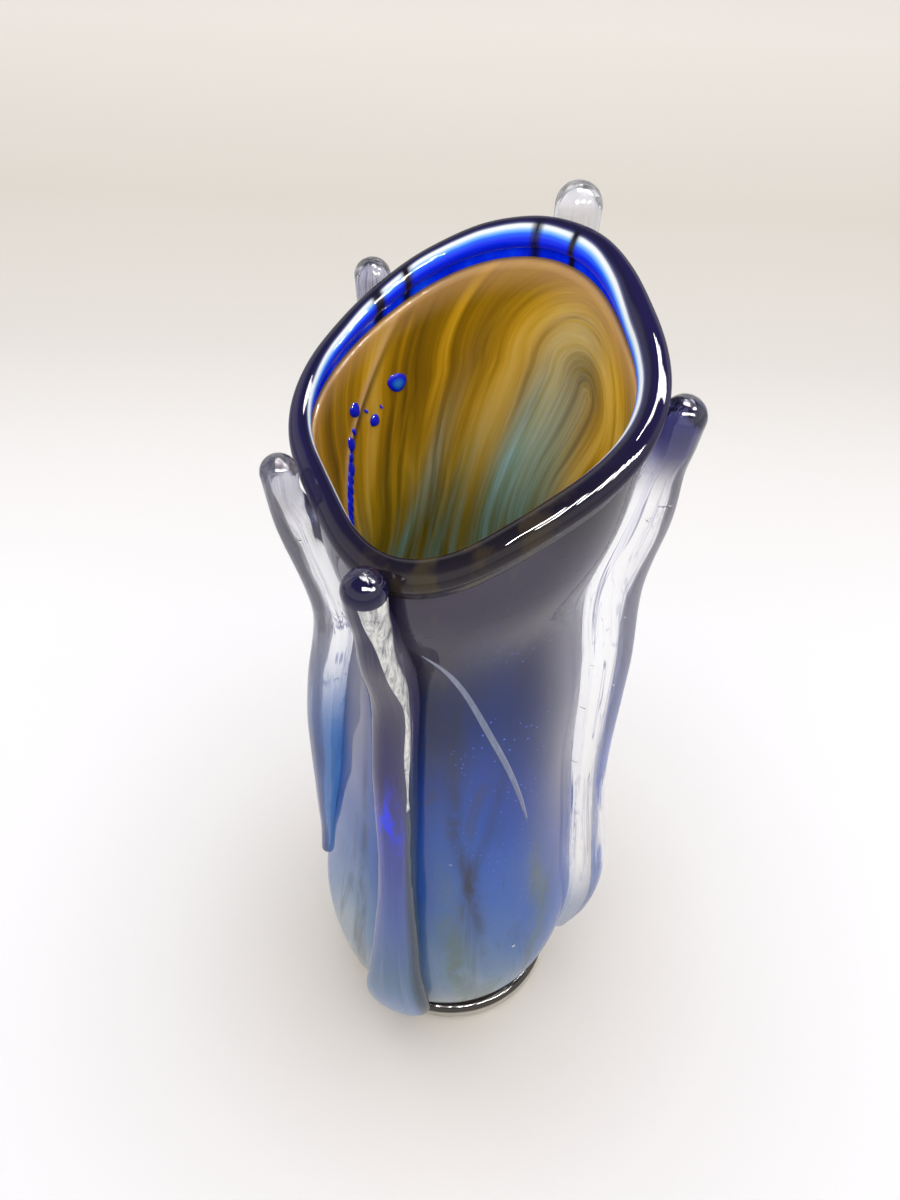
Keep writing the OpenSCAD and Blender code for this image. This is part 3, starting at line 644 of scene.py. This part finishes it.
class Rib:
    def __init__(self, azimuth, turn, knob, rise, end, drop=13.0, mid=MIDDLE, low=LOW, out=DROP_REACH,
                 neck=NECK):
        self.az, self.turn, self.knob, self.rise, self.end, self.drop = azimuth, turn, knob, rise, end, drop
        self.out = out
        k = knob
        self.reaches = [KNOB_OUT + k, KNOB_OUT + 0.95 * k, KNOB_OUT + 0.86 * k, 0.93 * neck, neck,
                        0.45 * neck + 0.55 * mid, mid, low, out, 0.7 * out]
        self.roots = [KNOB_OUT - k, KNOB_OUT - 0.95 * k, -1] + [-2] * 7
        self.halves = [k, 0.97 * k, 0.88 * k, 0.46 * RIB_W, 0.5 * RIB_W, 0.5 * RIB_W, 0.5 * RIB_W,
                       0.33 * RIB_W + 0.2 * drop, 0.46 * drop, 0.3 * drop]

    def at(self, u, t):
        """Point of the rib's skin at u down it (0 knob, 1 drop) and t degrees round its section."""
        u, t = np.broadcast_arrays(np.asarray(u, float), t)
        a = self.az + self.turn * u * u * (3 - 2 * u)
        s = 1 - (1 - self.end / TOP) * u
        lift = self.rise * (1 - np.minimum(u / 0.3, 1)) ** 2
        p, q, w = (smooth(KEYS, v, u) for v in (self.reaches, self.roots, self.halves))
        b = wall_point(a, s, 0.0)
        e = np.stack([np.cos(rad(a)), np.sin(rad(a)), 0 * a], -1)
        n = np.stack([-np.sin(rad(a)), np.cos(rad(a)), 0 * a], -1)
        flute = 1 + 0.014 * np.sin(rad(3 * t) + 5 * u) * np.clip(u * 8, 0, 1)
        flute = flute + 0.008 * np.sin(rad(5 * t) - 9 * u + 1) * np.clip(u * 8, 0, 1)
        x = ((p + q) / 2 + (p - q) / 2 * np.cos(rad(t)) * flute)[..., None]
        y = (w * np.sin(rad(t)) * flute)[..., None]
        out = b + e * x + n * y
        out[..., 2] += lift
        return out

    def dome(self, g, t, head=True):
        """Rings of the rounded ends."""
        if head:
            k = self.knob
            b = wall_point(self.az, 1.0, 0.0)
            a, mid, r, w, z = self.az, KNOB_OUT, k * math.cos(g), k * math.cos(g), self.rise + k * math.sin(g)
        else:
            a = self.az + self.turn
            b = wall_point(a, self.end / TOP, 0.0)
            p, q = 0.7 * self.out, -2
            mid, r = (p + q) / 2, (p - q) / 2 * math.cos(g)
            w, z = 0.3 * self.drop * math.cos(g), -0.28 * self.drop * math.sin(g)
        e = np.array([math.cos(rad(a)), math.sin(rad(a)), 0])
        n = np.array([-e[1], e[0], 0])
        return (b + e * (mid + r * np.cos(rad(t)))[:, None] + n * (w * np.sin(rad(t)))[:, None]
                + np.array([0, 0, z]))

    def mesh(self, name, sides=44):
        t = np.arange(sides) * 360.0 / sides
        us = np.concatenate([np.linspace(0, 0.3, 44), np.linspace(0.3, 0.85, 50)[1:],
                             np.linspace(0.85, 1, 26)[1:]])
        body = self.at(us[:, None], t[None, :])
        caps = np.radians([82, 70, 58, 46, 34, 23, 12])
        head = np.stack([self.dome(g, t) for g in caps])
        tail = np.stack([self.dome(g, t, False) for g in caps[::-1]])
        rings = np.concatenate([head, body, tail])
        u = np.concatenate([np.full(len(caps), -0.01), us, np.full(len(caps), 1.01)])[:, None]
        rim = (np.clip(np.cos(rad(t)), 0, 1) ** 1.5)[None, :] * np.ones_like(u)
        side = np.sin(rad(t))[None, :] * np.ones_like(u)
        # where the front rib gets a painted reflection of the body's blue
        refracted_blue = bell(u, 0.43, 0.06) * bell(side, 0.25, 0.6)
        first = self.dome(math.pi / 2, t)[0]
        last = self.dome(math.pi / 2, t, False)[0]
        front = np.cos(rad(t))[None, :] * np.ones_like(u)
        return skin(name, rings[:, ::-1], first, last, {
            "along": u, "rim": rim[:, ::-1], "side": side[:, ::-1], "front": front[:, ::-1],
            "refracted_blue": refracted_blue[:, ::-1]})

    def ribbon(self, name, u0, u1, middle, width, proud, steps=70, across=9):
        """A thin strip of glass laid on the rib's skin, its middle and width in degrees round it."""
        us = np.linspace(u0, u1, steps)
        rows = []
        for u in us:
            v = (u - u0) / (u1 - u0)
            mid, wide = middle(v), width(v)
            h = proud * min(1, 8 * v, 8 * (1 - v)) + 0.02
            top = []
            for k in range(across):
                x = -1 + 2 * k / (across - 1)
                q = self.at(u, mid + x * wide)
                c = self.at(u, mid + x * wide + 2)
                d = self.at(min(u + 0.01, 1), mid + x * wide)
                nrm = np.cross(d - q, c - q)
                nrm = nrm / np.linalg.norm(nrm)
                if np.dot(nrm, q - (self.at(u, 0) + self.at(u, 180)) / 2) < 0:
                    nrm = -nrm
                ripple = 1 + 0.35 * math.sin(70 * u + 3 * x) + 0.25 * math.sin(131 * u - 5 * x)
                top.append((q, nrm, h * ripple * math.sqrt(max(0.0, 1 - x * x)) + 0.03))
            up = [q + n * r for q, n, r in top]
            down = [q - n * 0.12 for q, n, r in top[::-1]]
            rows.append(np.array(up + down))
        rings = np.stack(rows)
        u = np.linspace(0, 1, steps)[:, None]
        return skin(name, rings, rings[0].mean(0), rings[-1].mean(0), {"along": u})


RIBS = {
    "front": Rib(-114, 5, 5.0, 4, 13.5, 23.0),
    "right": Rib(-9.5, 2, 4.9, -8, 20, 9.0, 9.5),
    "back_right": Rib(62, 4, 5.4, 4.5, 18),
    "back_left": Rib(122, 6, 4.3, 1, 26),
    "left": Rib(-160, -14, 4.2, 6, 62, 7.0, 9.0, 6.0, 3.5, 9.0),
}


def ribs():
    place(RIBS["front"].mesh("rib_front_glass"), violet_rib_material(), "rib_glass_violet", "rib_front")
    looks = {"right": (1.0, 0.97, 0.20, (0.78, 0.94, 0.5)), "back_right": (2.0, 0.08, 0.25, (0.7, 0.93, 0.6)),
             "back_left": (5.0, 0.45, 0.30, (0.7, 0.93, 0.6)), "left": (8.0, 0.40, 0.55, (0.32, 0.62, 0.97))}
    for name, (seed, knob, tint, blue) in looks.items():
        ob = RIBS[name].mesh("rib_" + name + "_glass")
        place(ob, rib_material("rib_glass_" + name, seed, knob, tint, blue), "rib_glass", "rib_" + name)
    seam = RIBS["front"].ribbon(
        "rib_front_seam", 0.004, 0.42,
        lambda v: 58 + 10 * min(1, v * 2.2), lambda v: 40 * (1 - v) ** 2.6 + 5 + 3 * math.sin(19 * v), 0.30)
    place(seam, seam_material(), "rib_glass_violet")


# ---------------------------------------------------------------- thread, chips, foot
def pale_thread():
    high = 0.85
    r = float(smooth(SHARES, RADII, high))
    start = (-116.0 + (RIB_W / 2 + 1.5 + 0.6) / r * 180 / math.pi, high)
    us = np.linspace(0, 1, 90)[:, None]
    t = np.arange(16)[None, :] * 22.5

    def turn(u):
        return start[0] + 53 * (0.4 * u + 0.6 * np.sin(np.pi / 2 * u))

    def along(u):
        return wall_point(turn(u), start[1] - 0.40 * u, 0.0)
    thick = np.sqrt(np.maximum(0.06, 1 - (2 * us - 1) ** 4))
    thin = 1 - 0.45 * us
    c = along(us)
    d = along(np.minimum(us + 0.01, 1)) - along(np.maximum(us - 0.01, 0))
    a = turn(us)
    e = np.stack([np.cos(rad(a)), np.sin(rad(a)), 0 * a], -1)
    n = np.cross(d, e)
    n /= np.linalg.norm(n, axis=-1, keepdims=True)
    rings = (c + e * (0.42 * thick * np.cos(rad(t)))[..., None]
             + n * (1.15 * thin * thick * np.sin(rad(t)))[..., None])
    ob = skin("pale_thread_glass", rings, c[0, 0], c[-1, 0], {"along": us})
    place(ob, thread_material(), "thread_glass", "pale_thread")


def cobalt_chips():
    chips = [(123, 0.917, 1, 1), (145, 0.927, 0.6, 0.85), (136, 0.896, 0.5, 0.7), (150.5, 0.897, 0.45, 0.9),
             (154.5, 0.875, 0.45, 0.9), (159, 0.86, 0.4, 0.8), (163.5, 0.847, 0.4, 0.8),
             (168, 0.835, 0.4, 0.7)]
    # crumbs between the larger chips, along the fold
    chips += [(132, 0.905, 0.13, 0.2), (139.5, 0.914, 0.16, 0.2), (147.8, 0.907, 0.24, 0.5),
              (152.6, 0.886, 0.26, 0.6), (156.8, 0.867, 0.3, 0.8), (161.3, 0.853, 0.3, 0.9),
              (165.8, 0.841, 0.3, 0.9), (169.5, 0.83, 0.2, 0.5)]
    made = []
    material = chip_material()
    for k, (a, s, wide, tall) in enumerate(chips):
        b = wall_point(a, s, -INSIDE)
        e = np.array([math.cos(rad(a)), math.sin(rad(a)), 0])
        n = np.array([-e[1], e[0], 0])
        z = wall_point(a, s + 0.01, -INSIDE) - wall_point(a, s - 0.01, -INSIDE)
        z = z / np.linalg.norm(z)
        t = np.arange(28) * 360.0 / 28
        edge = 1 + 0.07 * np.sin(rad(2 * t + 40 * k)) + 0.05 * np.sin(rad(3 * t + 70 * k))
        rows, chip_highlight = [], []
        for g in np.radians([-30, 0, 12, 25, 38, 52, 66, 80]):
            w = 2.6 * wide * math.cos(g) * edge
            h = 2.6 * tall * math.cos(g) * edge
            rows.append(b + n * (w * np.cos(rad(t)))[:, None] + z * (h * np.sin(rad(t)))[:, None]
                        - e * 0.75 * math.sin(g))
            # painted highlight, strongest on the largest chip
            chip_highlight.append(max(0.0, math.sin(g)) ** 2 * (1.0 if k == 0 else 0.5))
        rings = np.stack(rows)[:, ::-1]
        made.append(skin("cobalt_chip_%d" % (k + 1), rings, b + e * 0.5, b - e * 0.75,
                         {"chip_highlight": np.array(chip_highlight)[:, None]}))
    bpy.ops.object.select_all(action="DESELECT")
    for ob in made:
        ob.select_set(True)
    bpy.context.view_layer.objects.active = made[0]
    bpy.ops.object.join()
    made[0].name = "cobalt_chips_glass"
    place(made[0], material, "chip_glass", "cobalt_chips")


def foot():
    n = 192
    t = np.arange(n) * 2 * math.pi / n
    R, H, E = 33.8, FOOT_HEIGHT, 2.4
    prof = [(0.2 * R, 0.0), (0.6 * R, 0.0), (R - E, 0.0)]
    prof += [(R - E + E * math.sin(q), E - E * math.cos(q)) for q in np.linspace(0.2, math.pi / 2, 8)]
    prof += [(R - E + E * math.cos(q), H - E + E * math.sin(q)) for q in np.linspace(0.0, math.pi / 2, 9)]
    prof += [(0.6 * R, H), (0.2 * R, H)]
    rings = []
    for r, z in prof:
        wob = 1 - 0.004 * (1 + np.sin(3 * t + 1)) * (r > 0.8 * R)
        rings.append(np.stack([r * wob * np.cos(t), r * wob * np.sin(t), np.full(n, z)], -1))
    ob = skin("foot_disc_glass", np.stack(rings), [0, 0, 0], [0, 0, H])
    place(ob, foot_material(), "foot_glass", "foot_disc")


# ---------------------------------------------------------------- the stage
def floor():
    me = bpy.data.meshes.new("floor")
    me.from_pydata([(-6, -6, 0), (6, -6, 0), (6, 6, 0), (-6, 6, 0)], [], [(0, 1, 2, 3)])
    ob = bpy.data.objects.new("floor", me)
    bpy.context.scene.collection.objects.link(ob)
    m, nt = new_material("pale_floor")
    p = spot(nt)
    y = add(nt, "SeparateXYZ", out=1, Vector=p)
    far = nt.nodes.new("ShaderNodeMapRange")
    nt.links.new(y, far.inputs[0])
    far.inputs[1].default_value, far.inputs[2].default_value = -0.2, 0.8
    # painted light falloff: the floor darker far back and a little darker at the front
    col = ramp(nt, far.outputs[0], [
        (0.0, (0.93, 0.925, 0.905)), (0.12, (0.95, 0.94, 0.925)),
        (0.21, (0.96, 0.955, 0.94)), (0.34, (0.97, 0.965, 0.945)),
        (0.44, (0.90, 0.88, 0.84)), (0.525, (0.78, 0.75, 0.68)), (0.66, (0.74, 0.70, 0.61)),
        (0.87, (0.89, 0.85, 0.76)), (1.0, (0.90, 0.86, 0.77))])
    near = add(nt, "VectorMath", out=1, props={"operation": "LENGTH"}, i0=scaled(nt, p, 1, 1, 0))
    # painted contact shadow: the floor darker and browner round the foot
    contact_shadow = ramp(nt, calc(nt, "MULTIPLY", near, 5.0), [
        (0.15, (0.82, 0.775, 0.70)), (0.30, (0.87, 0.835, 0.78)), (0.50, (0.95, 0.935, 0.91)),
        (0.80, (1.0, 1.0, 1.0))])
    col = blend(nt, 1.0, col, contact_shadow, "MULTIPLY")
    col = blend(nt, 0.03, col, ramp(nt, noise(nt, p, 8, 3), [(0.3, (0.8, 0.8, 0.8)), (0.7, (1, 1, 1))]))
    finish_material(nt, Base_Color=col, Roughness=0.75, Specular_IOR_Level=0.1)
    me.materials.append(m)


def room():
    """Light that is bright low down and dim overhead."""
    w = bpy.data.worlds.new("soft_room")
    bpy.context.scene.world = w
    w.use_nodes = True
    nt = w.node_tree
    nt.nodes.clear()
    z = add(nt, "SeparateXYZ", out=2, Vector=add(nt, "TexCoord", out=0))
    col = ramp(nt, z, [(0.0, (1.28, 1.26, 1.21)), (0.48, (1.28, 1.26, 1.21)), (0.66, (0.30, 0.30, 0.41)),
                       (1.0, (0.22, 0.22, 0.31))])
    back = add(nt, "Background", Color=col, Strength=1.0)
    o = nt.nodes.new("ShaderNodeOutputWorld")
    nt.links.new(back, o.inputs[0])


def soft_panel():
    li = bpy.data.lights.new("soft_panel", "AREA")
    li.shape, li.size, li.size_y, li.energy, li.color = "RECTANGLE", 1.5, 1.5, 14.5, (1.0, 0.98, 0.94)
    o = bpy.data.objects.new("soft_panel", li)
    bpy.context.scene.collection.objects.link(o)
    o.location = (0.0, -0.10, 1.5)
    o.rotation_euler = (Vector((0, 0, 0.1)) - Vector(o.location)).to_track_quat("-Z", "Y").to_euler()
    o.visible_glossy = False


LAMPS, LAMP_START, LAMP_PITCH = 11, -0.06, 0.080
LAMP_HALF_WIDTH, LAMP_HALF_HEIGHT, LAMP_STRENGTH = 0.0080, 0.080, 280.0
# y and z of each row's middle, and the way its lamps run
LAMP_ROWS = ((-0.38, 0.74, 0.81, 0.59), (0.14, 0.86, 1.0, -0.24))


def lamp_rows():
    """Two rows of small bright panels, seen only in the glass as broken lines of light."""
    glow, nt = new_material("lamp_glow")
    e = add(nt, "Emission", Color=(1, 0.98, 0.95, 1), Strength=LAMP_STRENGTH)
    o = nt.nodes.new("ShaderNodeOutputMaterial")
    nt.links.new(e, o.inputs[0])
    for row, (y, z, dy, dz) in enumerate(LAMP_ROWS):
        points, faces = [], []
        for k in range(LAMPS):
            x, w, h = LAMP_START + LAMP_PITCH * k, LAMP_HALF_WIDTH, LAMP_HALF_HEIGHT
            n = len(points)
            points += [(x - w, y - h * dy, z - h * dz), (x + w, y - h * dy, z - h * dz),
                       (x + w, y + h * dy, z + h * dz), (x - w, y + h * dy, z + h * dz)]
            faces.append((n, n + 1, n + 2, n + 3))
        me = bpy.data.meshes.new("lamp_row_%d" % row)
        me.from_pydata(points, [], faces)
        me.materials.append(glow)
        ob = bpy.data.objects.new("lamp_row_%d" % row, me)
        bpy.context.scene.collection.objects.link(ob)
        ob.visible_camera = ob.visible_diffuse = ob.visible_transmission = ob.visible_shadow = False


CAMERA_AT, CAMERA_LENS = (0.0019, -0.21087, 0.43562), 39
CAMERA_PITCH, CAMERA_YAW, CAMERA_ROLL = 50, -1.2766, -1.4170


def camera():
    pitch, yaw, roll = math.radians(CAMERA_PITCH), math.radians(CAMERA_YAW), math.radians(CAMERA_ROLL)
    fwd = Vector((math.sin(yaw) * math.cos(pitch), math.cos(yaw) * math.cos(pitch), -math.sin(pitch)))
    right0 = Vector((math.cos(yaw), -math.sin(yaw), 0))
    down0 = fwd.cross(right0)
    right = math.cos(roll) * right0 + math.sin(roll) * down0
    down = -math.sin(roll) * right0 + math.cos(roll) * down0
    cam = bpy.data.cameras.new("camera")
    cam.lens, cam.sensor_fit, cam.sensor_height, cam.sensor_width = CAMERA_LENS, "VERTICAL", 36, 27
    cam.clip_start, cam.clip_end = 0.01, 50
    ob = bpy.data.objects.new("camera", cam)
    bpy.context.scene.collection.objects.link(ob)
    m = Matrix((right, -down, -fwd)).transposed().to_4x4()
    m.translation = Vector(CAMERA_AT)
    ob.matrix_world = m
    bpy.context.scene.camera = ob


camera()
body_glass()
cobalt_overlay()
inner_lining()
lip()
ribs()
pale_thread()
cobalt_chips()
foot()
floor()
room()
soft_panel()
lamp_rows()
bpy.context.scene.view_settings.view_transform = "Standard"
